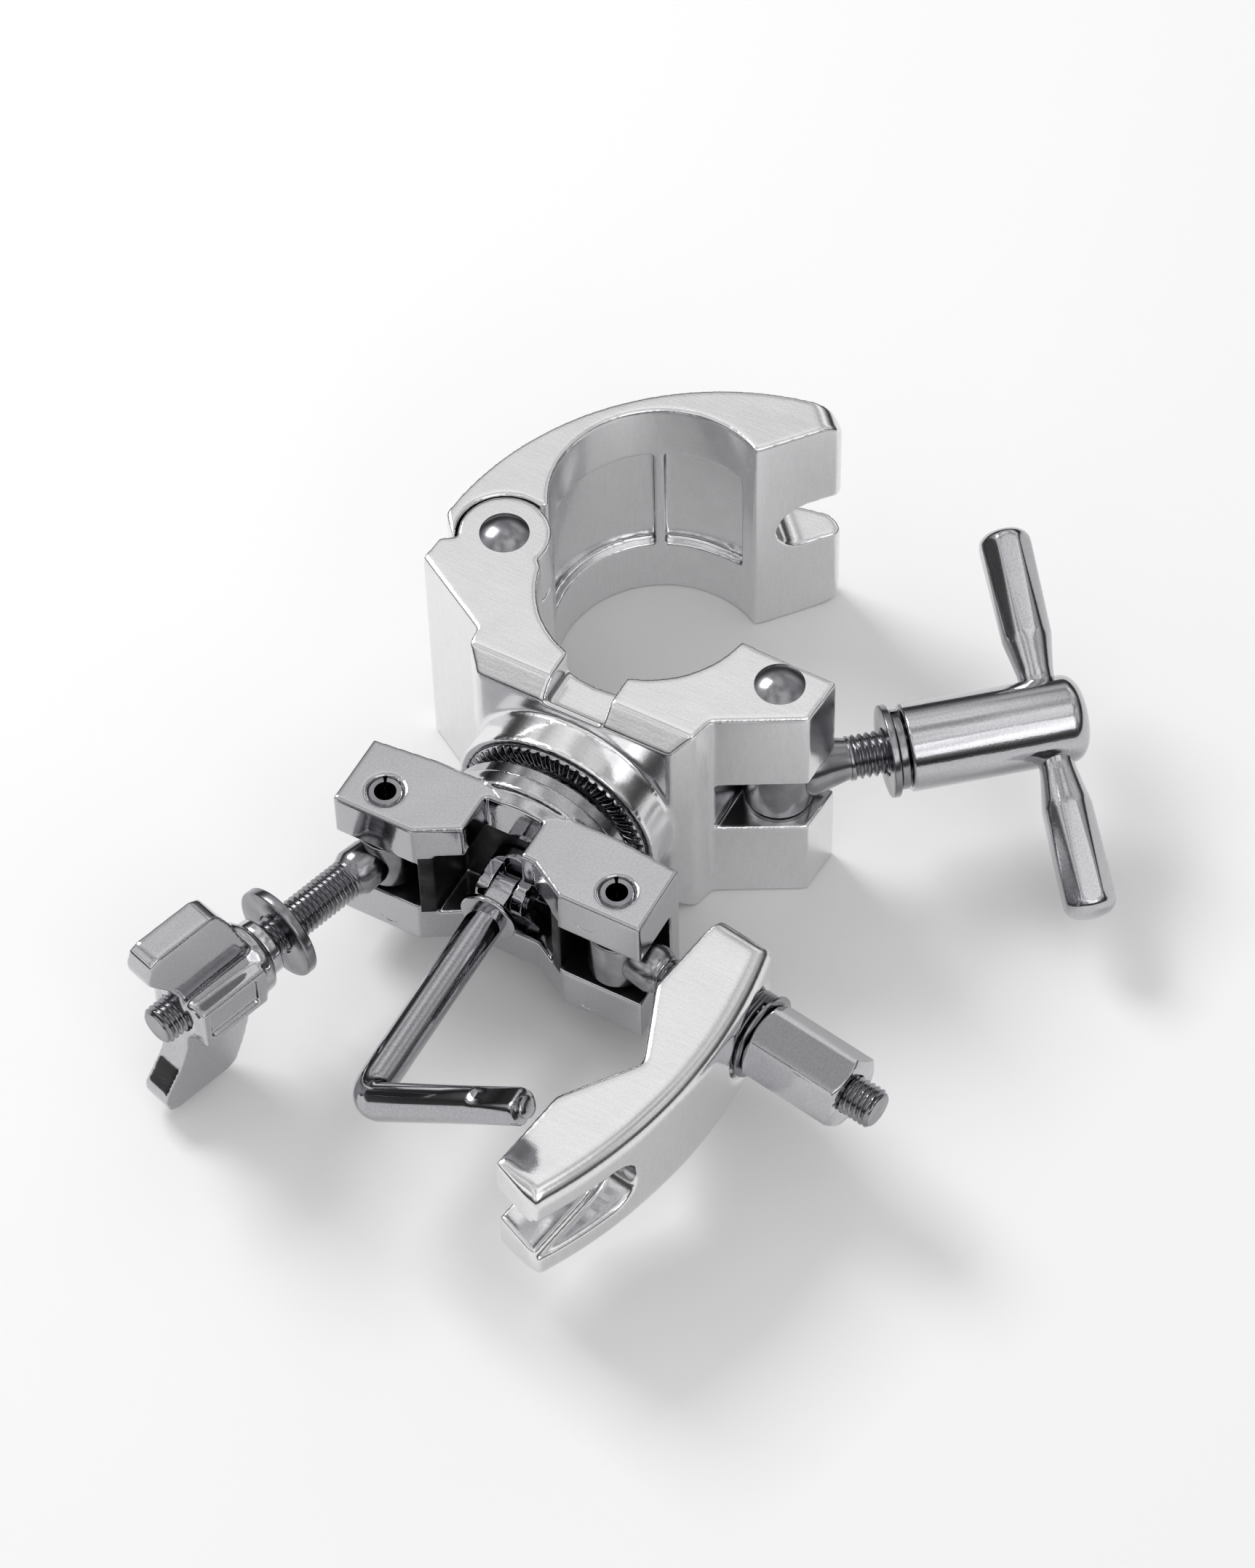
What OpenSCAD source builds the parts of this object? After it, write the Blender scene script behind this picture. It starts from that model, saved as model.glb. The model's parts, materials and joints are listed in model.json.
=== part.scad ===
// Drum-rack multi-clamp, a chrome die-cast C clamp pair on a ratchet joint.
// The origin is the tube seat's axis at the bottom face, +Z along the tube, -Y towards the rod clamp.

/* [Tube clamp] */
// Height of the tube clamp along the tube
clamp_h = 48.8; // [44:0.2:54]
// Radius of the tube that the seat fits
seat_r = 19.05; // [18.5:0.05:19.5]
// How far the hinged jaw stands open
jaw_open = 42.5; // [20:0.5:42.5]
// Height of the slot that the T-bolt swings in
tbolt_slot_h = 12; // [11.8:0.1:13]
// Swing of the T-bolt from +X
tbolt_angle = 40.7; // [30:0.1:45]

/* [T-handle] */
// Thread diameter of the T-bolt
tbolt_d = 7.8; // [7.8:0.1:8]
// Diameter of the barrel
barrel_d = 15.2; // [14:0.2:16]
// Distance from the T-bolt pivot to the barrel
barrel_start = 21.8; // [21:0.1:24]
// Length of the barrel with its rounded end
barrel_l = 31.6; // [30:0.1:34]
// Distance from the T-bolt pivot to the cross bar
bar_at = 46.8; // [45:0.1:48]
// Turn of the cross bar above the horizontal
bar_turn = 20; // [0:1:90]
// Reach of each grip from the barrel's axis
grip_reach = 35; // [30:1:46]

/* [Ratchet] */
// Radius of the boss on the tube clamp
boss_r = 18.8; // [18:0.1:19.5]
// Number of teeth on each ring, a multiple of four
teeth = 56; // [48:4:60]
// Gap between the two ring faces with the joint slack
ratchet_gap = 3.6; // [3:0.1:4]

/* [Rod clamp] */
// Height of the rod clamp
rod_h = 31.2; // [29:0.2:33]
// Half the distance between the two hinge pins
pin_x = 21.9; // [21.5:0.1:22.5]
// Diameter of the lever rod
lever_d = 6.5; // [6:0.1:7]
// Rise of the lever's short arm above the horizontal
lever_tilt = 34; // [10:0.5:40]
// Thread diameter of both swing bolts
swing_d = 7; // [6.6:0.1:7]
// Swing of the wing bolt from +X
wing_angle = 252.8; // [245:0.1:260]
// Swing of the jaw bolt from +X
jaw_bolt_angle = -9.5; // [-12:0.1:-6]

/* [Hidden] */
$fn = 64;

chrome = "#d9dadc";
dark_chrome = "#9a9b9e";
steel = "#7d7f83";

mid_z = clamp_h / 2;
eps = 0.01;
run = 0.05;              // radial running clearance of a pin in its hole

// tube clamp plan
hinge = [-27.5, -1];
pivot = [28.75, -7.75];
lug_r = 8;
jaw_pin_d = 6;
lug_h = 12.2;            // height of the lugs above and below the jaw's tongue
tongue_gap = 0.3;
arm_front_y = -24.1;     // front edge of the arms' top faces
front_y = -27.4;         // front face below the bevel
saddle_drop = 5.1;       // the middle of the body is this much lower than the arms
seat_wall_y = -2.6;      // the arms end at this line

// ratchet axis, along Y at mid height
boss_y = -34;
ring_out_r = 17.2;
ring_in_r = 12.8;
ring_t = 2;              // thickness of a tooth ring under its teeth
tooth_r = [0.52, 0.68];  // tooth radius at the inner and the outer end
disc_y = boss_y - ratchet_gap;
disc_r = 17.6;
ratchet_bolt_d = 7.8;
nut_af = 13;
nut_t = 6;
nut_y = [boss_y + 5, boss_y + 5 + nut_t];
bore_end_y = -19.9;       // the bolt's bore stops in front of the seat

// rod clamp plan
pin_y = -52;
pin_d = 6.2;
rod_back_y = -42.4;
rod_front_y = -57.3;
rod_end_x = 28.9;
plate_h = 9.4;
seat_y = -53.1;
bay_back_y = -45.3;      // back wall of the middle bay, flush with the notch
fold_y = -51;            // the lever folds about an axis here
lever_end_y = -98.5;
short_arm = 37;
eye_t = 10.4;
eye_r = 5.1;

// one swing bolt's stations along its own axis
washer_at = 24.2;
collar_at = 28.6;
wing_nut_at = 31;
wing_end = 52.4;
wing_t = 5.4;             // thickness of a wing
wing_tip_z = 21.8;        // reach of a wing's tip
spring_at = 26.4;
sleeve_at = 30.4;
sleeve_l = 17.8;
jaw_bolt_end = 53.6;

// the rod jaw's plan, u along its bolt and t along the jaw
jaw_half_h = 12.1;
jaw_mid_t = pin_x;
jaw_back_r = 89;         // radius of the jaw's curved back
jaw_back_u = 31;         // furthest reach of the back
jaw_edge_r = 3;

// ---- helpers ----
// a cylinder from y0 to y1 on the ratchet axis
module along_y(y0, y1, r) {
    translate([0, max(y0, y1), mid_z]) rotate([90, 0, 0]) cylinder(h = abs(y1 - y0), r = r);
}

// places +X of a part along a direction in plan, from a pivot at mid height
module on_pivot(p, angle) {
    translate([p[0], p[1], mid_z]) rotate([0, 0, angle]) children();
}

// a cylinder along local +X
module rod_x(x0, x1, r) {
    translate([x0, 0, 0]) rotate([0, 90, 0]) cylinder(h = x1 - x0, r = r);
}

module tube_x(x0, x1, r_out, r_in) {
    difference() {
        rod_x(x0, x1, r_out);
        rod_x(x0 - 1, x1 + 1, r_in);
    }
}

// a turned part on local +X: profile points are [x, radius]
module turned_x(profile) {
    rotate([0, 90, 0]) rotate_extrude() polygon([for (p = profile) [p[1], p[0]]]);
}

// a rivet standing through the clamp: a low domed head on top, flush below
module rivet(p) {
    head_d = 8.6;
    head_h = 1.4;
    dome_r = (pow(head_d / 2, 2) + pow(head_h, 2)) / (2 * head_h);
    translate([p[0], p[1], 0.15]) cylinder(h = clamp_h - 0.15, d = jaw_pin_d);
    translate([p[0], p[1], clamp_h]) intersection() {
        translate([0, 0, head_h - dome_r]) sphere(r = dome_r);
        cylinder(h = head_h, d = head_d);
    }
}

// a roll pin: a tube with chamfered ends
module roll_pin(x) {
    translate([x, pin_y, mid_z - rod_h / 2 + 0.2]) difference() {
        cylinder(h = rod_h - 0.4, d = pin_d);
        translate([0, 0, -1]) cylinder(h = rod_h + 2, d = 3.8);
    }
}

// ---- tube clamp ----
module arms_plan() {
    polygon([
        [15, seat_wall_y], [37, -3], [36.4, -12], [22.3, -19.9], [21.3, arm_front_y], [18.2, front_y],
        [-18.2, front_y], [-21.3, arm_front_y], [-21.7, -20.9], [-37.2, -11.9], [-36.8, -6.9],
        hinge, [hinge[0] + 7.6, hinge[1] - 2], [-15, -8]
    ]);
    translate(hinge) circle(r = lug_r);
}

module tube_clamp_body() {
    slot_to = hinge + 16 * [cos(216), sin(216)];
    color(chrome) difference() {
        union() {
            linear_extrude(clamp_h) arms_plan();
            along_y(boss_y, front_y + 1, boss_r);
        }
        for (side = [0, 1]) translate([0, 0, mid_z]) mirror([0, 0, side]) {
            // saddle between the arms
            translate([-5.6, arm_front_y - 2, mid_z - saddle_drop]) cube([11.2, 30, saddle_drop + 1]);
            translate([-5.6, -40, mid_z - saddle_drop + 1.5]) cube([11.2, 30, saddle_drop]);
            // bevel along the front edge
            translate([-40, arm_front_y, mid_z]) rotate([45, 0, 0]) translate([0, -4.8, 0]) cube([80, 12, 10]);
        }
        // seat
        translate([0, 0, -1]) cylinder(h = clamp_h + 2, r = seat_r, $fn = 128);
        // slot between the hinge lugs, open towards the jaw
        translate([0, 0, lug_h]) linear_extrude(clamp_h - 2 * lug_h) {
            translate(hinge) circle(r = lug_r + 0.4);
            polygon([hinge, slot_to, [-42, 12], [-17, 12], [-17, -3]]);
        }
        translate([hinge[0], hinge[1], -1]) cylinder(h = clamp_h + 2, d = jaw_pin_d);
        // slot for the T-bolt, open to the front, the side and the jaw
        translate([22.6, -23, mid_z - tbolt_slot_h / 2]) cube([20, 30, tbolt_slot_h]);
        translate([pivot[0], pivot[1], -1]) cylinder(h = clamp_h + 2, d = jaw_pin_d);
        // recess for the tooth ring, the spring and the captive nut
        along_y(boss_y - 1, boss_y + ring_t, ring_out_r);
        along_y(boss_y - 1, nut_y[0], 8.4);
        along_y(boss_y, bore_end_y, ratchet_bolt_d / 2 + 0.4);
        translate([0, nut_y[1], mid_z]) rotate([90, 0, 0])
            cylinder(h = nut_t + 0.5, d = nut_af / cos(30), $fn = 6);
    }
}

module jaw_hinge_rivet() {
    color(steel) rivet(hinge);
}

module tbolt_rivet() {
    color(steel) rivet(pivot);
}

// a flat ring with rounded radial teeth on its front face, at y, teeth towards facing (+1 or -1)
module tooth_ring(y, facing, phase) {
    translate([0, y, mid_z]) rotate([-90 * facing, 0, 0]) {
        difference() {
            translate([0, 0, -ring_t]) cylinder(h = ring_t, r = ring_out_r);
            translate([0, 0, -ring_t - 1]) cylinder(h = ring_t + 2, r = ring_in_r);
        }
        for (i = [0:teeth - 1])
            rotate([0, 0, (i + phase) * 360 / teeth]) translate([ring_in_r + 0.3, 0, 0])
                rotate([0, 90, 0]) cylinder(h = ring_out_r - ring_in_r - 0.6, r1 = tooth_r[0], r2 = tooth_r[1], $fn = 16);
    }
}

module fixed_tooth_ring() {
    color(dark_chrome) tooth_ring(boss_y, -1, 0);
}

module ratchet_nut() {
    color(steel) difference() {
        translate([0, nut_y[1], mid_z]) rotate([90, 0, 0]) cylinder(h = nut_t, d = nut_af / cos(30), $fn = 6);
        along_y(nut_y[0] - 1, nut_y[1] + 1, ratchet_bolt_d / 2 + run);
    }
}

// the jaw's plan with the clamp shut: an arched back over the seat
module jaw_plan() {
    difference() {
        intersection() {
            translate([2.3, -31.5]) circle(r = 53.6, $fn = 256);
            polygon([
                [-36.2, 1.1], [-36.2, 4.6], [-34, 20], [0, 30], [27, 24], [30.6, 14.5], [33, 12.9],
                [34.3, 10.4], [34.5, 8.4], [33.6, 7.4], [31.3, 7.2], [19.9, 5.7], [15, 5.5], [-15, 1.1]
            ]);
        }
        circle(r = seat_r, $fn = 128);
    }
}

module tube_clamp_jaw_shut() {
    rib_angle = 77;
    end_r = 4.2;
    difference() {
        union() {
            intersection() {
                linear_extrude(clamp_h) jaw_plan();
                // rounded corners at the free end
                translate([0, 60, 0]) rotate([90, 0, 0]) linear_extrude(80) {
                    translate([-60, 0]) square([94.6 - end_r, clamp_h]);
                    translate([0, end_r]) square([34.6, clamp_h - 2 * end_r]);
                    for (z = [end_r, clamp_h - end_r])
                        translate([34.6 - end_r, z]) circle(r = end_r);
                }
            }
            translate([0, 0, lug_h + tongue_gap]) linear_extrude(clamp_h - 2 * (lug_h + tongue_gap)) {
                translate(hinge) circle(r = lug_r - 0.2);
                polygon([hinge + [-7.8, 0], hinge + [7.8, 0], [-17.5, 8.4], [-22, 14], [-34, 7]]);
            }
        }
        translate([0, 0, -1]) cylinder(h = clamp_h + 2, r = seat_r, $fn = 128);
        // room for the body's lugs above and below the tongue
        for (z = [-1, clamp_h - lug_h - tongue_gap])
            translate([hinge[0], hinge[1], z]) {
                cylinder(h = lug_h + 1 + tongue_gap, r = lug_r + 0.4);
                cube([12, 4.2, lug_h + 1 + tongue_gap]);
            }
        translate([hinge[0], hinge[1], -1]) cylinder(h = clamp_h + 2, r = jaw_pin_d / 2 + run);
        // pocket between the two rims, with one rib and a rising floor left standing in it
        difference() {
            translate([0, 0, 12]) linear_extrude(clamp_h - 24) difference() {
                intersection() {
                    circle(r = seat_r + 1.9, $fn = 128);
                    polygon([[-19, 9.5], [0, 0], [19.5, 11], [19.5, 30], [-19, 30]]);
                }
                rotate(rib_angle) translate([seat_r, -0.9]) square([4, 1.8]);
            }
            rotate([90, 0, rib_angle]) linear_extrude(30)
                polygon([[-20, 11], [0, 17.5], [20, 11]]);
        }
        // fork for the T-bolt
        translate([0, 4, mid_z]) rotate([-90, 0, 0]) {
            translate([pivot[0] - 1.2, 0, 0]) cylinder(h = 20, r = 5.2);
            translate([pivot[0] - 1.2, -5.2, 0]) cube([12, 10.4, 20]);
        }
    }
}

module tube_clamp_jaw() {
    color(chrome) translate([hinge[0], hinge[1], 0]) rotate([0, 0, jaw_open])
        translate([-hinge[0], -hinge[1], 0]) tube_clamp_jaw_shut();
}

// ---- T-bolt and handle ----
module tbolt_eye_bolt() {
    color(steel) on_pivot(pivot, tbolt_angle) difference() {
        union() {
            translate([0, 0, -tbolt_slot_h / 2 + 0.3]) cylinder(h = tbolt_slot_h - 0.6, r = 6);
            turned_x([[2, 0], [2, 5.4], [5.2, 5.4], [11.5, tbolt_d / 2 - 0.3], [12, tbolt_d / 2], [39.4, tbolt_d / 2],
                [40, tbolt_d / 2 - 0.6], [40, 0]]);
        }
        translate([0, 0, -tbolt_slot_h]) cylinder(h = 2 * tbolt_slot_h, r = jaw_pin_d / 2 + run);
    }
}

module tbolt_flat_washer() {
    color(steel) on_pivot(pivot, tbolt_angle)
        tube_x(barrel_start - 3.4, barrel_start - 2.1, 8, tbolt_d / 2 + 0.3);
}

// split spring washer: a ring with a slanted cut
module tbolt_spring_washer() {
    color(steel) on_pivot(pivot, tbolt_angle) difference() {
        tube_x(barrel_start - 1.9, barrel_start - 0.2, 6.9, tbolt_d / 2 + 0.4);
        translate([barrel_start - 1, 5.5, 0]) rotate([0, 0, 30]) cube([8, 1, 0.9], center = true);
    }
}

// places a grip's frame on the cross bar: +Y runs out along the bar
module on_bar(side) {
    on_pivot(pivot, tbolt_angle) translate([bar_at, 0, 0]) rotate([bar_turn + 180 * side, 0, 0]) children();
}

module t_handle_barrel() {
    r = barrel_d / 2;
    end = barrel_start + barrel_l;
    dome = 3.4;
    color(chrome) difference() {
        on_pivot(pivot, tbolt_angle) difference() {
            turned_x(concat(
                [[barrel_start, 0], [barrel_start, r - 0.6], [barrel_start + 0.6, r]],
                [for (a = [0:10:80]) [end - dome + dome * sin(a), r - 4.5 + 4.5 * cos(a)]],
                [[end, 0]]
            ));
            rod_x(barrel_start - 1, barrel_start + 22.5, tbolt_d / 2 + run);
        }
        for (side = [0, 1]) on_bar(side) rotate([-90, 0, 0]) cylinder(h = barrel_d, d = 5);
    }
}

// one grip of the T-handle along local +Y: a round neck that flares into an octagon
module grip() {
    root = 2.6;
    flare = 15.5;
    tip = grip_reach;
    rotate([-90, 0, 0]) {
        translate([0, 0, root]) cylinder(h = 4, d = 5);
        intersection() {
            rotate_extrude() polygon([
                [0, 6.4], [2.4, 6.4], [2.4, 7.9], [3.1, 7.9], [3.2, 9], [4.4, flare], [4.7, tip - 3.4],
                [4.4, tip - 1.6], [3.4, tip - 0.5], [2, tip], [0, tip]
            ]);
            rotate([0, 0, 22.5]) translate([0, 0, root]) cylinder(h = grip_reach, r1 = 4.55, r2 = 4.7, $fn = 8);
        }
    }
}

module t_handle_grip_upper() {
    color(chrome) on_bar(0) grip();
}

module t_handle_grip_lower() {
    color(chrome) on_bar(1) grip();
}

// ---- ratchet ----
module ratchet_thrust_washer() {
    color(steel) difference() {
        along_y(disc_y + 0.3, disc_y + 1.5, 7.6);
        along_y(disc_y - 1, disc_y + 3, ratchet_bolt_d / 2 + 0.15);
    }
}

module ratchet_spring() {
    wire = 1.2;
    coil_r = 6;
    from_y = disc_y + 1.7 + wire / 2;
    to_y = nut_y[0] - 0.2 - wire / 2;
    coils = 4;
    color(steel) for (i = [0:coils - 1])
        translate([0, from_y + (to_y - from_y) * i / (coils - 1), mid_z]) rotate([90, 0, 0])
            rotate_extrude() translate([coil_r, 0]) circle(d = wire, $fn = 24);
}

// ---- rod clamp ----
module rod_plan() {
    polygon([
        [rod_end_x, rod_back_y - 1.2], [17, rod_back_y], [-17, rod_back_y], [-rod_end_x, rod_back_y - 1.2],
        [-rod_end_x, rod_front_y], [-14, rod_front_y], [-6.9, seat_y], [6.9, seat_y], [14, rod_front_y],
        [rod_end_x, rod_front_y]
    ]);
}

module rod_clamp_body() {
    low = mid_z - rod_h / 2;
    bay = rod_h - 2 * plate_h;
    color(chrome) difference() {
        union() {
            translate([0, 0, low]) linear_extrude(rod_h) rod_plan();
            along_y(rod_back_y - 0.5, disc_y - ring_t, disc_r);
            along_y(rod_back_y, disc_y, ring_in_r);
            translate([0, rod_back_y + 0.6, mid_z]) rotate([90, 0, 0])
                cylinder(h = 5, r1 = disc_r, r2 = rod_h / 2 - 0.6);
        }
        // end bays for the two swing bolts, open at the front and at the ends
        for (side = [-1, 1])
            translate([side > 0 ? 13.6 : -40, -70, low + plate_h]) cube([26.4, 23.4, bay]);
        // middle bay, taller, where the lever's clevis turns
        translate([-11.2, -70, low + plate_h - 1.8]) cube([22.4, 70 + bay_back_y, bay + 3.6]);
        // notch in the top plate for the folded lever
        translate([-6.5, -70, mid_z]) cube([10.9, 70 + bay_back_y, rod_h]);
        for (x = [-pin_x, pin_x])
            translate([x, pin_y, low - 1]) cylinder(h = rod_h + 2, d = pin_d);
        // the bolt's hole
        along_y(disc_y + 1, bay_back_y - 1, ratchet_bolt_d / 2 + 0.1);
    }
}

module turning_tooth_ring() {
    color(dark_chrome) tooth_ring(disc_y, 1, 0.5);
}

module wing_bolt_pin() {
    color(steel) roll_pin(-pin_x);
}

module jaw_bolt_pin() {
    color(steel) roll_pin(pin_x);
}

// ---- ratchet bolt and lever ----
module ratchet_bolt() {
    head_y = bay_back_y - 0.2;
    ear_in = 2.2;
    color(steel) difference() {
        union() {
            along_y(nut_y[1] + 0.4, head_y, ratchet_bolt_d / 2);
            along_y(head_y, head_y - 2.4, 5.2);
            for (side = [-1, 1])
                translate([side > 0 ? ear_in : -ear_in - 2.2, 0, 0]) {
                    translate([0, fold_y, mid_z - 3]) cube([2.2, head_y - 1 - fold_y, 6]);
                    translate([0, fold_y, mid_z]) rotate([0, 90, 0]) cylinder(h = 2.2, r = 3);
                }
        }
        translate([-8, fold_y, mid_z]) rotate([0, 90, 0]) cylinder(h = 16, d = 3);
    }
}

module lever_pivot_pin() {
    color(steel) translate([-4.8, fold_y, mid_z]) rotate([0, 90, 0]) cylinder(h = 9.6, d = 3);
}

// the L-shaped lever: eye, flange, shank, a bend and the short arm with a flattened end
module lever_rod() {
    bend_r = 4.4;
    r = lever_d / 2;
    color(dark_chrome) difference() {
        union() {
            translate([-1.9, fold_y, mid_z]) rotate([0, 90, 0]) cylinder(h = 3.8, r = 2.9);
            translate([-1.9, fold_y - 6, mid_z - 2.4]) cube([3.8, 6, 4.8]);
            along_y(fold_y - 5.4, fold_y - 6.6, 5.2);
            along_y(fold_y - 6, lever_end_y + bend_r - 0.2, r - 0.01);
            translate([0, lever_end_y, mid_z]) rotate([0, -lever_tilt, 0]) {
                translate([bend_r, bend_r, 0]) rotate([0, 0, 180])
                    rotate_extrude(angle = 90) translate([bend_r, 0]) circle(r = r);
                intersection() {
                    rod_x(bend_r - 0.3, short_arm, r - 0.15);
                    union() {
                        translate([0, -5, -5]) cube([short_arm - 9, 10, 10]);
                        translate([0, -5, -2.5]) cube([short_arm, 10, 5]);
                    }
                }
                rod_x(short_arm - eps, short_arm + 1.2, 1.9);
            }
        }
        translate([-5, fold_y, mid_z]) rotate([0, 90, 0]) cylinder(h = 10, r = 1.5 + run);
    }
}

// ---- swing bolts ----
module swing_eye_bolt(shoulder, end) {
    difference() {
        union() {
            translate([0, 0, -eye_t / 2]) cylinder(h = eye_t, r = eye_r);
            turned_x([[1, 0], [1, 4.4], [shoulder - 1.2, 4.4], [shoulder, swing_d / 2], [end - 0.9, swing_d / 2],
                [end, swing_d / 2 - 0.9], [end, 0]]);
        }
        translate([0, 0, -eye_t]) cylinder(h = 2 * eye_t, r = pin_d / 2 + run);
    }
}

module wing_eye_bolt() {
    color(steel) on_pivot([-pin_x, pin_y], wing_angle) swing_eye_bolt(9.5, wing_end);
}

module wing_flange_washer() {
    color(steel) on_pivot([-pin_x, pin_y], wing_angle) tube_x(washer_at, washer_at + 1.9, 8.5, swing_d / 2 + 0.25);
}

module wing_nut_collar() {
    color(chrome) on_pivot([-pin_x, pin_y], wing_angle) tube_x(collar_at, wing_nut_at - 0.3, 5.2, swing_d / 2 + 0.15);
}

// one wing: a thick blade swept out past the nut's end
module wing() {
    translate([wing_nut_at, wing_t / 2, 0]) rotate([90, 0, 0]) linear_extrude(wing_t) polygon([
        [2, 2], [17.4, 2], [17.8, 7.5], [19.6, 11.4], [23.3, 16.4], [23.5, 18.2], [22.6, wing_tip_z - 0.7],
        [21, wing_tip_z], [9.6, wing_tip_z], [7.9, wing_tip_z - 0.8], [5.6, 16.2], [3.2, 9], [2, 5.4]
    ]);
}

module wing_nut() {
    end = wing_nut_at + 17;
    housing_y = 6.6;
    color(chrome) on_pivot([-pin_x, pin_y], wing_angle) difference() {
        union() {
            turned_x([[wing_nut_at, 0], [wing_nut_at, 5.8], [wing_nut_at + 0.7, 6.8], [wing_nut_at + 2.2, 6.8],
                [wing_nut_at + 3.4, 6.2], [end - 1, 6], [end, 5.2], [end, 0]]);
            translate([wing_nut_at + 2.6, -housing_y, -4.6]) cube([13.8, 2 * housing_y, 9.2]);
            for (side = [0, 1]) mirror([0, 0, side]) wing();
        }
        rod_x(wing_nut_at - 1, end + 10, swing_d / 2 + run);
        // a shallow blank panel on each side
        for (side = [0, 1]) mirror([0, side, 0])
            translate([wing_nut_at + 4.6, housing_y - 0.9, -3]) cube([10.2, 2, 6]);
    }
}

module jaw_eye_bolt() {
    color(steel) on_pivot([pin_x, pin_y], jaw_bolt_angle) swing_eye_bolt(9.5, jaw_bolt_end);
}

// jaw in its bolt's frame: u is +X, t is -Y, z is centred
module rod_jaw_plan() {
    polygon([
        [15.1, 9.4], [40, 9.4], [40, -53.4], [24, -53.4], [15.5, -51.2], [15.2, -35.4],
        [22.3, -jaw_mid_t], [14.7, -8.8], [14.6, 4]
    ]);
}

module rod_clamp_jaw() {
    back_x = jaw_back_u - jaw_back_r;
    h = jaw_half_h;
    end_r = 3;
    color(chrome) on_pivot([pin_x, pin_y], jaw_bolt_angle) difference() {
        intersection() {
            translate([0, 0, -h]) linear_extrude(2 * h) rod_jaw_plan();
            // rounded ends
            rotate([0, 90, 0]) linear_extrude(40) {
                translate([-h, -53.2 + end_r]) square([2 * h, 62.2 - 2 * end_r]);
                translate([-h + end_r, -53.2]) square([2 * h - 2 * end_r, 62.2]);
                for (z = [-h + end_r, h - end_r], t = [-53.2 + end_r, 9 - end_r])
                    translate([z, t]) circle(r = end_r);
            }
            translate([back_x, -jaw_mid_t, 0]) rotate([0, 0, -30]) rotate_extrude(angle = 60, $fn = 256) {
                translate([60, -h]) square([jaw_back_r - 60 - jaw_edge_r, 2 * h]);
                translate([60, -h + jaw_edge_r]) square([jaw_back_r - 60, 2 * h - 2 * jaw_edge_r]);
                for (z = [-h + jaw_edge_r, h - jaw_edge_r])
                    translate([jaw_back_r - jaw_edge_r, z]) circle(r = jaw_edge_r, $fn = 64);
            }
        }
        // bolt hole and the flat that the spring sits on
        rod_x(0, 40, swing_d / 2 + 0.5);
        rod_x(spring_at - 0.2, 40, 8.2);
        // fork: a slot open at the end, with a long dish in the back for the washer
        translate([0, -2 * jaw_mid_t + 3.6, 0]) {
            rod_x(0, 40, 4.2);
            translate([0, -20, -4.2]) cube([40, 20, 8.4]);
        }
        translate([0, -2 * jaw_mid_t + 5, 0]) {
            rod_x(24.5, 40, 5.6);
            translate([24.5, -20, -5.6]) cube([40, 20, 11.2]);
        }
    }
}

module jaw_spring() {
    wire = 1;
    color(steel) on_pivot([pin_x, pin_y], jaw_bolt_angle) for (i = [0:2])
        translate([spring_at + wire / 2 + i * 1.05, 0, 0]) rotate([0, 90, 0])
            rotate_extrude() translate([6.6, 0]) circle(d = wire, $fn = 24);
}

module jaw_spring_washer() {
    color(steel) on_pivot([pin_x, pin_y], jaw_bolt_angle)
        tube_x(sleeve_at - 0.8, sleeve_at - 0.2, 7.6, swing_d / 2 + 0.2);
}

module hex_sleeve_nut() {
    af = 12.2;
    r = af / 2 / cos(30);
    color(chrome) on_pivot([pin_x, pin_y], jaw_bolt_angle) difference() {
        intersection() {
            translate([sleeve_at, 0, 0]) rotate([0, 90, 0]) rotate([0, 0, 12]) cylinder(h = sleeve_l, r = r, $fn = 6);
            turned_x([[sleeve_at, 0], [sleeve_at, r - 0.9], [sleeve_at + 0.7, r + 0.1],
                [sleeve_at + sleeve_l - 0.7, r + 0.1], [sleeve_at + sleeve_l, r - 0.9], [sleeve_at + sleeve_l, 0]]);
        }
        rod_x(sleeve_at - 1, sleeve_at + sleeve_l + 1, swing_d / 2 + run);
    }
}

tube_clamp_body();
jaw_hinge_rivet();
tbolt_rivet();
fixed_tooth_ring();
ratchet_nut();
tube_clamp_jaw();
tbolt_eye_bolt();
tbolt_flat_washer();
tbolt_spring_washer();
t_handle_barrel();
t_handle_grip_upper();
t_handle_grip_lower();
ratchet_thrust_washer();
ratchet_spring();
rod_clamp_body();
turning_tooth_ring();
wing_bolt_pin();
jaw_bolt_pin();
ratchet_bolt();
lever_pivot_pin();
lever_rod();
wing_eye_bolt();
wing_flange_washer();
wing_nut_collar();
wing_nut();
jaw_eye_bolt();
rod_clamp_jaw();
jaw_spring();
jaw_spring_washer();
hex_sleeve_nut();
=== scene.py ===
"""Looks of the drum-rack multi clamp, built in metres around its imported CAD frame.

Pieces are made in millimetres in the frame's axes and scaled once by MM. Castings are the
CAD solids re-skinned with rounded edges; bolts, springs, grips and rings are made here from
profiles.
"""

import json
import math

import bmesh
import bpy
from mathutils import Matrix, Vector


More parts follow.
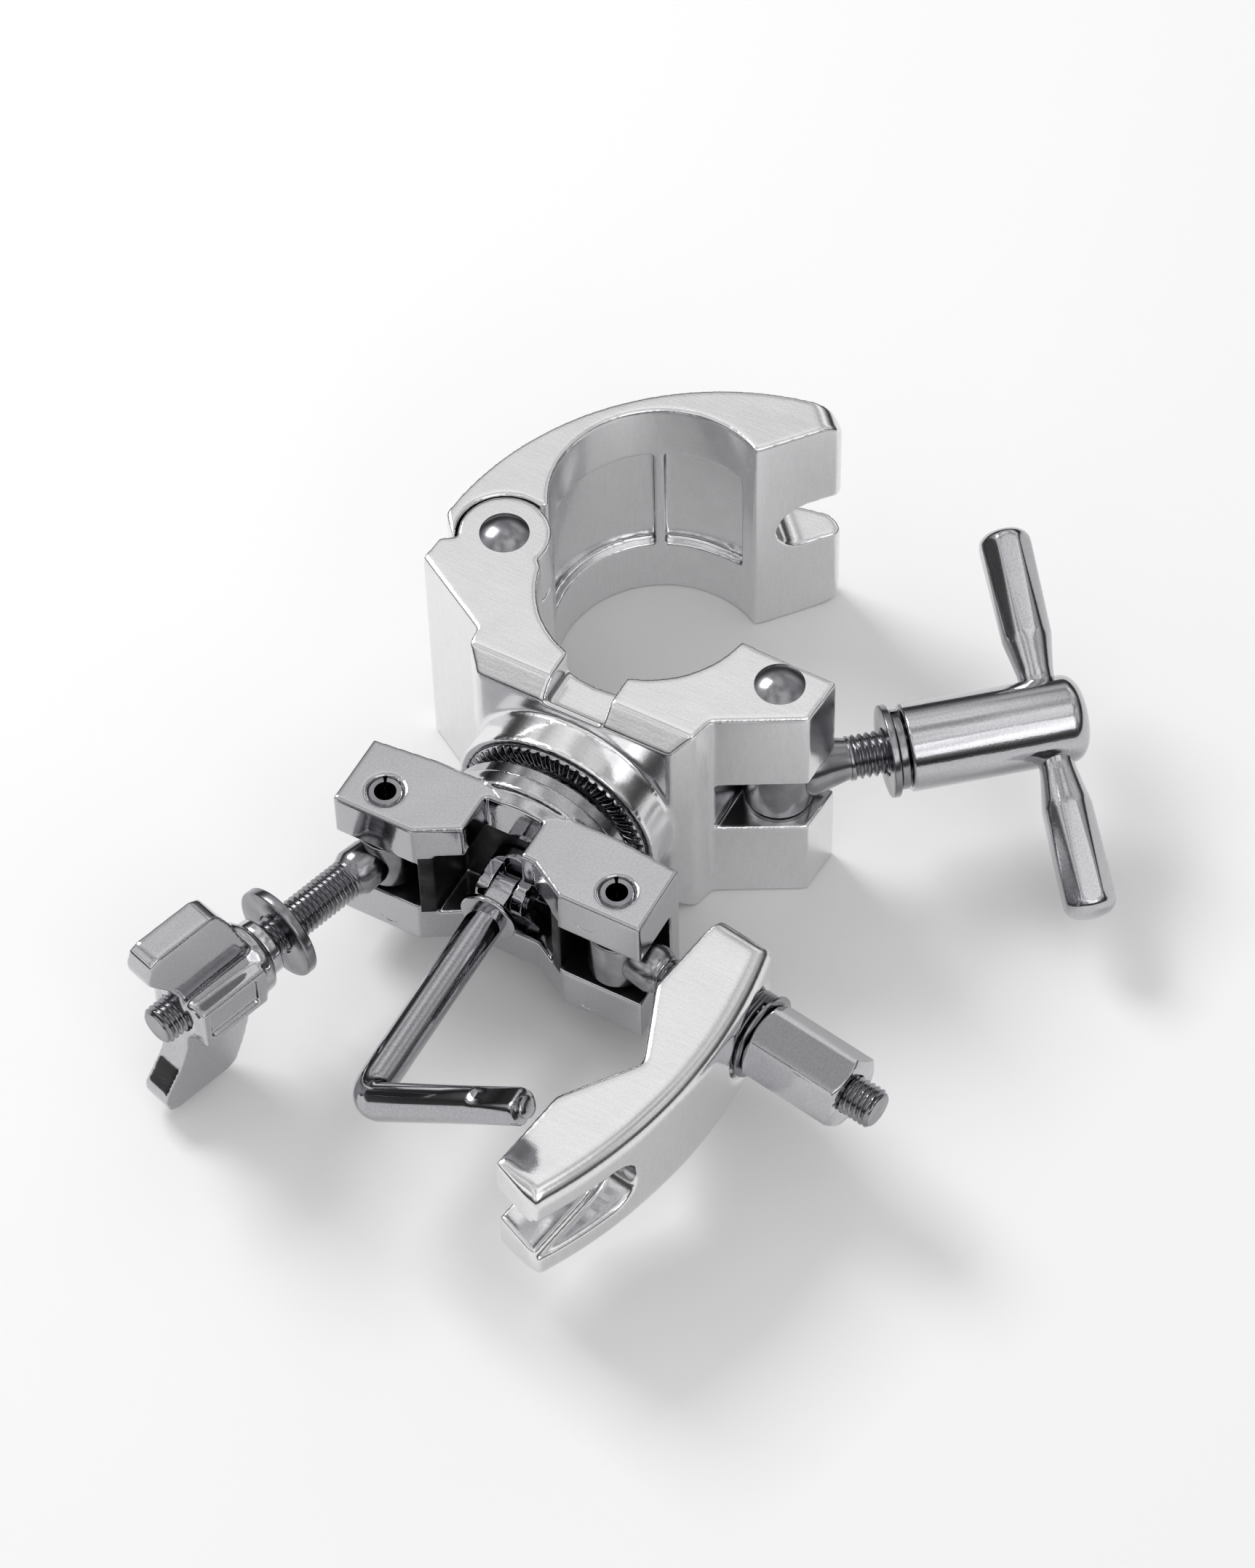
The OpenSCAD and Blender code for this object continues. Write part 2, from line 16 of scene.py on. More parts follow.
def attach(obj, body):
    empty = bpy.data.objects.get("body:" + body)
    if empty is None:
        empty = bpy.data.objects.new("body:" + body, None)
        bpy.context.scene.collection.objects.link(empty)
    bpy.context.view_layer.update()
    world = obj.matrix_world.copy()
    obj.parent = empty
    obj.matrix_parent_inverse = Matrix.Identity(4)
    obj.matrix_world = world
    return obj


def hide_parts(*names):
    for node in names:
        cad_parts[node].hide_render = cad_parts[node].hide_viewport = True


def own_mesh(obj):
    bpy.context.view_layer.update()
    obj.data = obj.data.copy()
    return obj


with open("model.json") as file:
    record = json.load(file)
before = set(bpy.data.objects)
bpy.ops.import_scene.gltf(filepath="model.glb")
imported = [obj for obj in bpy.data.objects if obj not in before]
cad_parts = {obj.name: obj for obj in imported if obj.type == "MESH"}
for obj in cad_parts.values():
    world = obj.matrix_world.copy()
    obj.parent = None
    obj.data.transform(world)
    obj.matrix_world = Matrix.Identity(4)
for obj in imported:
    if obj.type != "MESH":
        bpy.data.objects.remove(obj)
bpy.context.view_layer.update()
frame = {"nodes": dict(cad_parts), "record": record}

MM = 0.001
TAU = 2 * math.pi
MID_Z = 24.4

# ---- places shared with the CAD model, in mm and degrees ----
T_PIVOT = (28.75, -7.75)
T_ANGLE = 40.7
T_THREAD_R = 3.9
BARREL_START = 21.8
BARREL_END = 53.4
BARREL_R = 7.6
T_WASHER_R = 8
T_SPRING_WASHER_R = 6.9
DOME_R = 4.5
DOME_RISE = 3.4
BAR_AT = 46.8
BAR_TURN = 20
GRIP_TIP = 35

WING_PIVOT = (-21.9, -52)
WING_ANGLE = 252.8
WING_BOLT_END = 52.4
FLANGE_FROM, FLANGE_TO, FLANGE_R = 24.2, 26.1, 8.5
COLLAR_FROM, COLLAR_TO, COLLAR_R = 28.6, 30.7, 5.2

JAW_PIVOT = (21.9, -52)
JAW_ANGLE = -9.5
JAW_BOLT_END = 53.6
SLEEVE_AT = 30.4
SLEEVE_END = 48.2
SLEEVE_FLAT = 6.1
JAW_WASHER_R = 7.6
SPRING_AT = 26.4
SPRING_LENGTH = 3.1

SWING_R = 3.5
PIN_R = 3.1
PIN_BORE_R = 1.9
EYE_R = 5.1
EYE_HALF = 5.2

BOSS_Y = -34
DISC_Y = -37.6
TEETH = 56
RING_OUT_R = 17.2
RING_IN_R = 12.8
RING_T = 2

FOLD_Y = -51
LEVER_END_Y = -98.5
LEVER_TILT = 34
LEVER_R = 3.25
BEND_R = 4.4

RIVETS = {"jaw_hinge_rivet": (-27.5, -1), "tbolt_rivet": T_PIVOT}
RIVET_R = 3
CLAMP_H = 48.8
ROD_LOW = 8.8
ROD_HIGH = 40.0
ROD_FRONT_Y = -57.3


# ---- materials: noise scales per metre ----
WAVE_SCALE = 60
PIT_SCALE = 2600
STREAK_SCALE = 260
STREAK_STRETCH = (1, 9, 1)
PIT_DEPTH = 0.05
STREAK_DEPTH = 0.12
GRAIN_SCALE = 1500
SPECK_SCALE = 240


def node_material(name, color, roughness, metallic=1.0):
    """A Principled material with its own object coordinates; returns the parts to wire."""
    material = bpy.data.materials.new(name)
    material.use_nodes = True
    nodes, links = material.node_tree.nodes, material.node_tree.links
    shader = nodes["Principled BSDF"]
    shader.inputs["Base Color"].default_value = (*color, 1)
    shader.inputs["Metallic"].default_value = metallic
    shader.inputs["Roughness"].default_value = roughness
    coords = nodes.new("ShaderNodeTexCoord").outputs["Object"]
    return material, nodes, links, shader, coords


def noise_value(nodes, links, coords, scale, detail, stretch=(1, 1, 1)):
    """Noise over object coordinates, stretched per axis."""
    mapping = nodes.new("ShaderNodeMapping")
    mapping.inputs["Scale"].default_value = stretch
    links.new(coords, mapping.inputs["Vector"])
    noise = nodes.new("ShaderNodeTexNoise")
    noise.inputs["Scale"].default_value = scale
    noise.inputs["Detail"].default_value = detail
    links.new(mapping.outputs["Vector"], noise.inputs["Vector"])
    return noise.outputs["Fac"]


def ranged(nodes, links, value, low, high, start=0.3, stop=0.7):
    """Maps a 0..1 value between start and stop onto low..high."""
    spread = nodes.new("ShaderNodeMapRange")
    spread.inputs["From Min"].default_value = start
    spread.inputs["From Max"].default_value = stop
    spread.inputs["To Min"].default_value = low
    spread.inputs["To Max"].default_value = high
    links.new(value, spread.inputs["Value"])
    return spread.outputs["Result"]


def tinted(nodes, links, value, dark, light):
    """Mixes two colours by a 0..1 value."""
    mix = nodes.new("ShaderNodeMix")
    mix.data_type = "RGBA"
    mix.inputs["A"].default_value = (*dark, 1)
    mix.inputs["B"].default_value = (*light, 1)
    links.new(value, mix.inputs["Factor"])
    return mix.outputs["Result"]


def bumped(nodes, links, shader, height, strength, distance):
    """Wires a height into the shader's normal."""
    bump = nodes.new("ShaderNodeBump")
    bump.inputs["Strength"].default_value = strength
    bump.inputs["Distance"].default_value = distance
    links.new(height, bump.inputs["Height"])
    links.new(bump.outputs["Normal"], shader.inputs["Normal"])


def plated_casting(name, dark, light, rough_low, rough_high, wave, streaks=0.0):
    """Chrome over a die casting: broad waviness, faint pitting, hazy patches and polishing streaks."""
    material, nodes, links, shader, coords = node_material(name, light, rough_low)
    broad = noise_value(nodes, links, coords, WAVE_SCALE, 2)
    fine = noise_value(nodes, links, coords, PIT_SCALE, 4)
    scratch = noise_value(nodes, links, coords, STREAK_SCALE, 5, STREAK_STRETCH)
    links.new(ranged(nodes, links, broad, rough_low, rough_high), shader.inputs["Roughness"])
    shades = nodes.new("ShaderNodeMath")
    shades.operation = "MULTIPLY_ADD"
    links.new(scratch, shades.inputs[0])
    shades.inputs[1].default_value = streaks
    links.new(ranged(nodes, links, fine, 0.1, 0.9 - streaks), shades.inputs[2])
    links.new(tinted(nodes, links, shades.outputs["Value"], dark, light), shader.inputs["Base Color"])
    pits = nodes.new("ShaderNodeMath")
    pits.operation = "MULTIPLY_ADD"
    links.new(fine, pits.inputs[0])
    pits.inputs[1].default_value = PIT_DEPTH
    links.new(broad, pits.inputs[2])
    marks = nodes.new("ShaderNodeMath")
    marks.operation = "MULTIPLY_ADD"
    links.new(scratch, marks.inputs[0])
    marks.inputs[1].default_value = STREAK_DEPTH * streaks
    links.new(pits.outputs["Value"], marks.inputs[2])
    bumped(nodes, links, shader, marks.outputs["Value"], 0.5, wave)
    return material


def turned_metal(name, dark, light, roughness, grain):
    """Plated steel with a fine, tight grain and darker specks."""
    material, nodes, links, shader, coords = node_material(name, light, roughness)
    fine = noise_value(nodes, links, coords, GRAIN_SCALE, 5)
    patches = noise_value(nodes, links, coords, SPECK_SCALE, 3)
    shade_share = ranged(nodes, links, patches, 0, 1)
    links.new(tinted(nodes, links, shade_share, dark, light), shader.inputs["Base Color"])
    links.new(ranged(nodes, links, patches, roughness * 1.35, roughness * 0.8), shader.inputs["Roughness"])
    bumped(nodes, links, shader, fine, 0.35, grain)
    return material


MATERIALS = {
    "satin_chrome": plated_casting(
        "satin_chrome", (0.68, 0.68, 0.69), (0.90, 0.90, 0.91), 0.12, 0.21, 0.00036, 0.5),
    "bright_chrome": plated_casting(
        "bright_chrome", (0.45, 0.45, 0.47), (0.58, 0.58, 0.60), 0.05, 0.11, 0.00036, 0.12),
    # near-black paint standing in for the shade inside the castings' deep pockets
    "pocket_shade_paint": turned_metal("pocket_shade_paint", (0.02, 0.02, 0.022), (0.06, 0.06, 0.063), 0.42, 0.00003),
    "dark_chrome": plated_casting(
        "dark_chrome", (0.34, 0.34, 0.36), (0.48, 0.48, 0.50), 0.05, 0.1, 0.00006),
    "plated_steel": turned_metal("plated_steel", (0.22, 0.22, 0.24), (0.34, 0.34, 0.35), 0.18, 0.00001),
    "spring_steel": turned_metal("spring_steel", (0.13, 0.13, 0.14), (0.32, 0.32, 0.34), 0.28, 0.00002),
}


# ---- mesh helpers ----
def swing(pivot, angle):
    """Frame of a swinging piece: +X runs out from its pivot, in plan, at mid height."""
    return Matrix.Translation((*pivot, MID_Z)) @ Matrix.Rotation(math.radians(angle), 4, "Z")


T_FRAME = swing(T_PIVOT, T_ANGLE)
WING_FRAME = swing(WING_PIVOT, WING_ANGLE)
JAW_FRAME = swing(JAW_PIVOT, JAW_ANGLE)
# +X along the ratchet axis, towards the tube clamp
RATCHET_FRAME = Matrix.Translation((0, 0, MID_Z)) @ Matrix.Rotation(math.pi / 2, 4, "Z")


def mesh_object(name, bm, place=Matrix.Identity(4)):
    """Turns a bmesh in mm into an object in metres."""
    bmesh.ops.recalc_face_normals(bm, faces=bm.faces)
    mesh = bpy.data.meshes.new(name)
    bm.to_mesh(mesh)
    bm.free()
    mesh.transform(Matrix.Scale(MM, 4) @ place)
    obj = bpy.data.objects.new(name, mesh)
    bpy.context.scene.collection.objects.link(obj)
    return obj


def shade(obj, angle):
    """Smooth shading, with edges sharper than the angle kept crisp."""
    for polygon in obj.data.polygons:
        polygon.use_smooth = True
    obj.data.set_sharp_from_angle(angle=math.radians(angle))


def finish_piece(obj, body, slot, *nodes, angle=32):
    """Shading, finish and body of one piece, and the CAD nodes that it stands for."""
    shade(obj, angle)
    obj.data.materials.clear()
    obj.data.materials.append(MATERIALS[slot])
    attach(obj, body)
    if nodes:
        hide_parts(*nodes)
    return obj


def apply_modifiers(obj):
    """Bakes an object's modifiers into its mesh."""
    depsgraph = bpy.context.evaluated_depsgraph_get()
    evaluated = obj.evaluated_get(depsgraph)
    mesh = bpy.data.meshes.new_from_object(evaluated)
    obj.modifiers.clear()
    obj.data = mesh


def joined(first, *others):
    """Boolean union of closed meshes into the first one."""
    for other in others:
        cut = first.modifiers.new("join", "BOOLEAN")
        cut.operation = "UNION"
        cut.solver = "EXACT"
        cut.object = other
    apply_modifiers(first)
    for other in others:
        bpy.data.objects.remove(other)
    return first


def lofted(name, rings, place=Matrix.Identity(4), loop=False):
    """A closed skin over rings of equal length; its ends are capped, or joined in a loop."""
    bm = bmesh.new()
    rows = [[bm.verts.new(p) for p in ring] for ring in rings]
    count = len(rows[0])
    for a, b in zip(rows, rows[1:] + rows[:1] if loop else rows[1:]):
        for i in range(count):
            j = (i + 1) % count
            bm.faces.new((a[i], a[j], b[j], b[i]))
    if not loop:
        bm.faces.new(rows[0])
        bm.faces.new(rows[-1])
    return mesh_object(name, bm, place)


def lathe(name, profile, place, segments=72):
    """Turned about local X: profile is [x, radius] points; the loop closes if both ends meet."""
    closed = profile[0] == profile[-1]
    points = profile[:-1] if closed else profile
    bm = bmesh.new()
    rows = []
    for x, r in points:
        if r == 0:
            rows.append([bm.verts.new((x, 0, 0))] * segments)
            continue
        rows.append([
            bm.verts.new((x, r * math.cos(TAU * i / segments), r * math.sin(TAU * i / segments)))
            for i in range(segments)
        ])
    pairs = list(zip(rows, rows[1:]))
    if closed:
        pairs.append((rows[-1], rows[0]))
    for a, b in pairs:
        for i in range(segments):
            j = (i + 1) % segments
            corners = []
            for v in (a[i], a[j], b[j], b[i]):
                if v not in corners:
                    corners.append(v)
            bm.faces.new(corners)
    return mesh_object(name, bm, place)


def arc(cx, cr, radius, start, stop, steps):
    """Profile points on a quarter or other arc, angles in degrees."""
    return [
        (cx + radius * math.cos(math.radians(a)), cr + radius * math.sin(math.radians(a)))
        for a in (start + (stop - start) * i / steps for i in range(steps + 1))
    ]


def washer(name, place, x0, x1, r_out, r_in, edge=0.25):
    """A flat ring with rounded rims."""
    profile = (
        arc(x0 + edge, r_in + edge, edge, 270, 180, 3)
        + arc(x0 + edge, r_out - edge, edge, 180, 90, 4)
        + arc(x1 - edge, r_out - edge, edge, 90, 0, 4)
        + arc(x1 - edge, r_in + edge, edge, 0, -90, 3)
    )
    return lathe(name, profile + profile[:1], place)


def thread_depth(phase):
    """Depth share of a rounded V thread at a phase of 0..1."""
    wave = abs(2 * (phase % 1) - 1)
    return min(1, max(0, (wave - 0.12) / 0.76))


def bolt(name, place, shoulder, end, radius, pitch, depth, neck):
    """A neck profile running into a helical thread with a chamfered end."""
    segments, per_turn = 48, 10
    rows = []
    for x, r in neck:
        rows.append([(x, r)] * segments)
    steps = int((end - shoulder) / pitch * per_turn)
    chamfer = depth * 1.3
    for k in range(steps + 1):
        x = shoulder + (end - shoulder) * k / steps
        row = []
        for i in range(segments):
            cut = depth * thread_depth(x / pitch - i / segments)
            fade = min(1, (x - shoulder) / pitch)
            r = radius - cut * fade
            row.append((x, min(r, radius - chamfer + (end - x))))
        rows.append(row)
    rings = [
        [
            (x, r * math.cos(TAU * i / segments), r * math.sin(TAU * i / segments))
            for i, (x, r) in enumerate(row)
        ]
        for row in rows
    ]
    return lofted(name, rings, place)


def drum(name, place, half, radius, edge, hole):
    """A ring standing on local Z, centred on the origin."""
    turned = place @ Matrix.Rotation(-math.pi / 2, 4, "Y")
    return washer(name, turned, -half, half, radius, hole, edge)


def coil(name, place, x0, x1, turns, radius, wire, closed_turns=0.75):
    """A compression spring along local X, its end turns closed up."""
    segments, around = 40, 12
    bm = bmesh.new()
    rows = []
    free = turns - 2 * closed_turns
    total = int(turns * segments)
    for k in range(total + 1):
        t = k / segments
        run = min(max(t - closed_turns, 0), free) / free
        x = x0 + wire + (x1 - x0 - 2 * wire) * run
        x += (min(t, closed_turns) / closed_turns - 1) * wire * 0.5
        x += max(0, t - turns + closed_turns) / closed_turns * wire * 0.5
        a = TAU * t
        centre = Vector((x, radius * math.cos(a), radius * math.sin(a)))
        out = Vector((0, math.cos(a), math.sin(a)))
        along = Vector((1, 0, 0))
        rows.append([
            bm.verts.new(centre + wire / 2 * (out * math.cos(turn) + along * math.sin(turn)))
            for turn in (TAU * i / around for i in range(around))
        ])
    for a, b in zip(rows, rows[1:]):
        for i in range(around):
            j = (i + 1) % around
            bm.faces.new((a[i], a[j], b[j], b[i]))
    bm.faces.new(rows[0])
    bm.faces.new(rows[-1])
    return mesh_object(name, bm, place)


def casting(node, name, grid, passes):
    """The CAD solid of a casting, re-skinned on a fine grid and relaxed until its edges are round."""
    obj = bpy.data.objects.new(name, frame["nodes"][node].data.copy())
    bpy.context.scene.collection.objects.link(obj)
    skin = obj.modifiers.new("skin", "REMESH")
    skin.mode = "VOXEL"
    skin.voxel_size = grid * MM
    relax = obj.modifiers.new("relax", "SMOOTH")
    relax.factor = 0.5
    relax.iterations = passes
    apply_modifiers(obj)
    return obj


def paint_pocket_shade(obj, *boxes):
    """Painted shade inside deep pockets: faces in a box get a near-black material standing in for the shade
    there.
    """
    obj.data.materials.append(MATERIALS["pocket_shade_paint"])
    for polygon in obj.data.polygons:
        c = polygon.center / MM
        for low, high in boxes:
            if all(low[i] < c[i] < high[i] for i in range(3)):
                polygon.material_index = 1


def soft_min(a, b, blend):
    """The lower of two lengths, rounded over where they cross."""
    low = min(a, b)
    return low - blend * math.log(math.exp((low - a) / blend) + math.exp((low - b) / blend))


def polygonal(name, place, stations, sides, turn=0.0, bore=0.0):
    """A faceted bar cut from a turned blank: stations are (x, blank radius, flat's distance)."""
    segments = 96
    blend = 0.06
    step = TAU / sides
    rings = []
    for x, blank, flat in stations:
        ring = []
        for i in range(segments):
            a = TAU * i / segments
            off = (a - math.radians(turn) + step / 2) % step - step / 2
            r = soft_min(blank, flat / math.cos(off), blend)
            ring.append((x, r * math.cos(a), r * math.sin(a)))
        rings.append(ring)
    if bore:
        for x in (stations[-1][0], stations[0][0]):
            rings.append([
                (x, bore * math.cos(TAU * i / segments), bore * math.sin(TAU * i / segments))
                for i in range(segments)
            ])
    return lofted(name, rings, place, loop=bool(bore))


def stepped(points, step):
    """Fills a [x, radius] profile with points no further apart than step."""
    filled = []
    for (x0, r0), (x1, r1) in zip(points, points[1:]):
        count = max(1, math.ceil(abs(x1 - x0) / step))
        filled += [(x0 + (x1 - x0) * i / count, r0 + (r1 - r0) * i / count) for i in range(count)]
    return filled + [points[-1]]


def split_washer(name, place, x0, x1, r_out, r_in, cut_at, twist):
    """A spring washer: one slanted turn of square wire with a narrow cut."""
    gap = math.radians(9)
    edge = 0.2
    half = (x1 - x0 - twist) / 2
    rings = []
    for k in range(97):
        share = k / 96
        a = math.radians(cut_at) + gap / 2 + (TAU - gap) * share
        x = (x0 + x1) / 2 + twist * (share - 0.5)
        ring = []
        for corner_x, corner_r, start in (
            (half - edge, r_out - edge, 0), (edge - half, r_out - edge, 90),
            (edge - half, r_in + edge, 180), (half - edge, r_in + edge, 270),
        ):
            for px, pr in arc(x + corner_x, corner_r, edge, start, start + 90, 3):
                ring.append((px, pr * math.cos(a), pr * math.sin(a)))
        rings.append(ring)
    return lofted(name, rings, place)


def toothed_ring(name, y, facing, phase):
    """A flat ring with rounded radial teeth on one face."""
    per_tooth = 14
    radii = [RING_OUT_R - 0.3 - (RING_OUT_R - RING_IN_R - 0.6) * i / 6 for i in range(7)]
    rings = []
    for k in range(TEETH * per_tooth):
        share = (k / per_tooth) % 1
        a = TAU * k / per_tooth / TEETH
        off = min(share, 1 - share) * TAU / TEETH
        section = [(RING_IN_R, -RING_T), (RING_OUT_R, -RING_T), (RING_OUT_R, -0.15), (RING_OUT_R - 0.15, 0)]
        for i, r in enumerate(radii):
            tooth = 0.68 - 0.16 * i / 6
            rise = math.sqrt(max(0, tooth ** 2 - (r * off) ** 2))
            section.append((r, rise * (0.55 if i in (0, 6) else 1)))
        section.append((RING_IN_R, 0))
        turn = a + phase * TAU / TEETH
        rings.append([(r * math.cos(turn), h * facing, r * math.sin(turn)) for r, h in section])
    return lofted(name, rings, Matrix.Translation((0, y, MID_Z)), loop=True)


def roll_pin(name, x):
    """A rolled spring pin: a slit tube with turned-in ends."""
    slit = math.radians(7)
    count = 48
    rings = []
    for z, inset in ((ROD_LOW + 0.2, 0.4), (ROD_LOW + 0.7, 0), (ROD_HIGH - 0.7, 0), (ROD_HIGH - 0.2, 0.4)):
        turns = [math.radians(120) + slit + (TAU - 2 * slit) * i / count for i in range(count + 1)]
        outer = [((PIN_R - inset) * math.cos(a), (PIN_R - inset) * math.sin(a), z) for a in turns]
        inner = [(PIN_BORE_R * math.cos(a), PIN_BORE_R * math.sin(a), z) for a in reversed(turns)]
        rings.append(outer + inner)
    return lofted(name, rings, Matrix.Translation((x, WING_PIVOT[1], 0)))


def rivet(name, place):
    """A rivet with a low domed head on top."""
    head_r, rise = 4.3, 1.4
    dome_r = (head_r ** 2 + rise ** 2) / (2 * rise)
    dome = [
        (CLAMP_H + rise - dome_r + math.sqrt(dome_r ** 2 - r ** 2), r)
        for r in (head_r * (10 - i) / 10 for i in range(11))
    ]
    foot = [(0.15, 0), (0.15, RIVET_R - 0.3), (0.4, RIVET_R)]
    profile = foot + [(CLAMP_H, RIVET_R), (CLAMP_H, head_r - 0.1)] + dome
    return lathe(name, profile, Matrix.Translation((*place, 0)) @ Matrix.Rotation(-math.pi / 2, 4, "Y"))


def swing_bolt(name, place, end):
    """An eye bolt with its eye on local Z at the pivot."""
    eye = drum(name, place, EYE_HALF, EYE_R, 0.5, PIN_R + 0.06)
    shank = bolt(
        name + "_shank", place, 9.5, end, SWING_R, 1.0, 0.5,
        ((3.4, 3.6), (4.6, 4.1), (8.2, 4.2), (9.2, 3.7)),
    )
    return joined(eye, shank)


def lever():
    """The lever swept along its shank, bend and tilted arm, with the clevis eye and flange joined on."""
    tilt = math.radians(LEVER_TILT)
    out = Vector((math.cos(tilt), 0, math.sin(tilt)))
    along = Vector((0, 1, 0))
    lift = out.cross(along)
    corner = Vector((0, LEVER_END_Y, MID_Z))
    path = []
    start_y = FOLD_Y - 6
    for i in range(17):
        y = start_y + (LEVER_END_Y + BEND_R - start_y) * i / 16
        path.append((Vector((0, y, MID_Z)), out, LEVER_R, 9))
    for i in range(1, 17):
        a = math.pi / 2 * i / 16
        centre = corner + BEND_R * (out + along)
        path.append((
            centre - BEND_R * (out * math.cos(a) + along * math.sin(a)),
            out * math.cos(a) + along * math.sin(a), LEVER_R, 9,
        ))
    for reach, r, flat in (
        (12, 3.2, 9), (20, 3.15, 9), (26.5, 3.1, 9), (27.2, 3.1, 2.9), (27.9, 3.1, 2.4), (30, 3.1, 2.35),
        (36.2, 3.1, 2.35), (36.8, 2.9, 2.2), (37, 2.5, 2.1), (37.05, 1.9, 1.9), (37.9, 1.85, 1.85),
        (38.15, 1.5, 1.5), (38.2, 0.9, 0.9),
    ):
        path.append((corner + out * reach, along, r, flat))
    rings = []
    for centre, side, r, flat in path:
        ring = []
        for i in range(48):
            a = TAU * i / 48
            height = r * math.sin(a)
            height = math.copysign(soft_min(abs(height), flat, 0.08), height) if flat < r + 1 else height
            ring.append(centre + side * (r * math.cos(a)) + lift * height)
        rings.append(ring)
    body = lofted("lever_bar", rings)
    turned = Matrix.Translation((0, 0, MID_Z)) @ Matrix.Rotation(math.pi / 2, 4, "Z")
    flange_y, flange_half, rim_r, edge = FOLD_Y - 6, 0.6, 4.8, 0.4
    flange = lathe("lever_flange", (
        [(flange_y - flange_half, 0)] + arc(flange_y - flange_half + edge, rim_r, edge, 180, 90, 4)
        + arc(flange_y + flange_half - edge, rim_r, edge, 90, 0, 4) + [(flange_y + flange_half, 0)]
    ), turned)
    block = bmesh.new()
    block_place = Matrix.Translation((0, FOLD_Y - 3, MID_Z)) @ Matrix.Diagonal((3.8, 6, 4.8, 1))
    bmesh.ops.create_cube(block, size=1, matrix=block_place)
    neck = mesh_object("lever_neck", block)
    eye = washer("lever_eye", Matrix.Translation((0, FOLD_Y, MID_Z)), -1.9, 1.9, 2.95, 1.55, 0.15)
    return joined(body, flange, neck, eye)


# ---- castings ----
CAST_ANGLE = 80
# CAD node, piece, body, finish, grid in mm, relaxing passes
CASTINGS = (
    ("tube_clamp_body", "tube_clamp_casting", "tube_clamp", "satin_chrome", 0.34, 11),
    ("tube_clamp_jaw", "tube_jaw_casting", "tube_jaw", "satin_chrome", 0.34, 11),
    ("rod_clamp_body", "rod_clamp_casting", "rod_clamp", "bright_chrome", 0.28, 9),
    ("rod_clamp_jaw", "rod_jaw_casting", "rod_jaw", "satin_chrome", 0.3, 40),
    ("wing_nut", "wing_nut_casting", "wing_nut", "bright_chrome", 0.22, 34),
    ("ratchet_bolt", "ratchet_bolt_forging", "ratchet_bolt", "dark_chrome", 0.2, 2),
)
# pockets that get painted shade, as boxes in mm: the T-bolt's, then the pin slot and the ratchet bolt's hole
POCKETS = {
    "tube_clamp_body": (((22.8, -26, 18.6), (36, 0, 30.2)),),
    "rod_clamp_body": (((-28.5, -56.9, 16.6), (28.5, -45.1, 32.2)), ((-3, -45.6, 20), (3, -30, 29))),
}
for node, piece, ride_body, slot, grid, passes in CASTINGS:
    obj = finish_piece(casting(node, piece, grid, passes), ride_body, slot, node, angle=CAST_ANGLE)
    # painted shade: faces in the casting's deep pockets get the near-black material
    if node in POCKETS:
        paint_pocket_shade(obj, *POCKETS[node])

# ---- rivets and pins ----
for node, place in RIVETS.items():
    finish_piece(rivet(node + "_head", place), "tube_clamp", "plated_steel", node)
finish_piece(roll_pin("wing_roll_pin", WING_PIVOT[0]), "rod_clamp", "plated_steel", "wing_bolt_pin")
finish_piece(roll_pin("jaw_roll_pin", JAW_PIVOT[0]), "rod_clamp", "plated_steel", "jaw_bolt_pin")

# ---- T-bolt and handle ----
eye = drum("tbolt_eye", T_FRAME, 5.7, 6, 0.5, 3.06)
shank = bolt(
    "tbolt_shank", T_FRAME, 12, 40, T_THREAD_R, 1.25, 0.6,
    ((3.3, 4.6), (4.4, 5.1), (5.4, 5.2), (8.2, 4.5), (11.2, 3.7), (11.9, 3.6)),
)
finish_piece(joined(eye, shank), "tbolt", "plated_steel", "tbolt_eye_bolt")
finish_piece(
    washer("tbolt_plain_washer", T_FRAME, BARREL_START - 3.4, BARREL_START - 2.1, T_WASHER_R, 4.2),
    "t_nut_carrier", "plated_steel", "tbolt_flat_washer")
finish_piece(
    split_washer(
        "tbolt_split_washer", T_FRAME, BARREL_START - 1.9, BARREL_START - 0.2,
        T_SPRING_WASHER_R, 4.3, 60, 0.25),
    "t_nut_carrier", "plated_steel", "tbolt_spring_washer")
dome = [
    (
        BARREL_END - DOME_RISE + DOME_RISE * math.sin(math.radians(a)),
        BARREL_R - DOME_R + DOME_R * math.cos(math.radians(a)),
    )
    for a in range(0, 90, 6)
]
barrel_profile = (
    [(BARREL_START + 22.5, 0), (BARREL_START + 20.5, T_THREAD_R), (BARREL_START, T_THREAD_R)]
    + arc(BARREL_START + 0.6, BARREL_R - 0.6, 0.6, 180, 90, 5)
    + dome + [(BARREL_END, BARREL_R - DOME_R), (BARREL_END, 0)]
)
finish_piece(lathe("t_barrel", barrel_profile, T_FRAME, 128), "t_handle", "bright_chrome", "t_handle_barrel")
GRIP_BLANK = [
    (5.5, 3.15), (7.9, 3.1), (9, 3.2), (12, 3.72), (15.5, 4.4), (GRIP_TIP - 3.4, 4.72),
    (GRIP_TIP - 2.2, 4.6), (GRIP_TIP - 1.2, 4.1), (GRIP_TIP - 0.5, 3.3),
    (GRIP_TIP - 0.12, 2.1), (GRIP_TIP, 0.6),
]
for number, node in enumerate(("t_handle_grip_upper", "t_handle_grip_lower")):
    on_bar = (
        T_FRAME @ Matrix.Translation((BAR_AT, 0, 0))
        @ Matrix.Rotation(math.radians(BAR_TURN + 180 * number), 4, "X")
        @ Matrix.Rotation(math.pi / 2, 4, "Z")
    )
    stations = [(x, r, 4.22 + 0.12 * x / GRIP_TIP) for x, r in stepped(GRIP_BLANK, 0.4)]
    finish_piece(polygonal(node + "_bar", on_bar, stations, 8), "t_handle", "bright_chrome", node, angle=60)

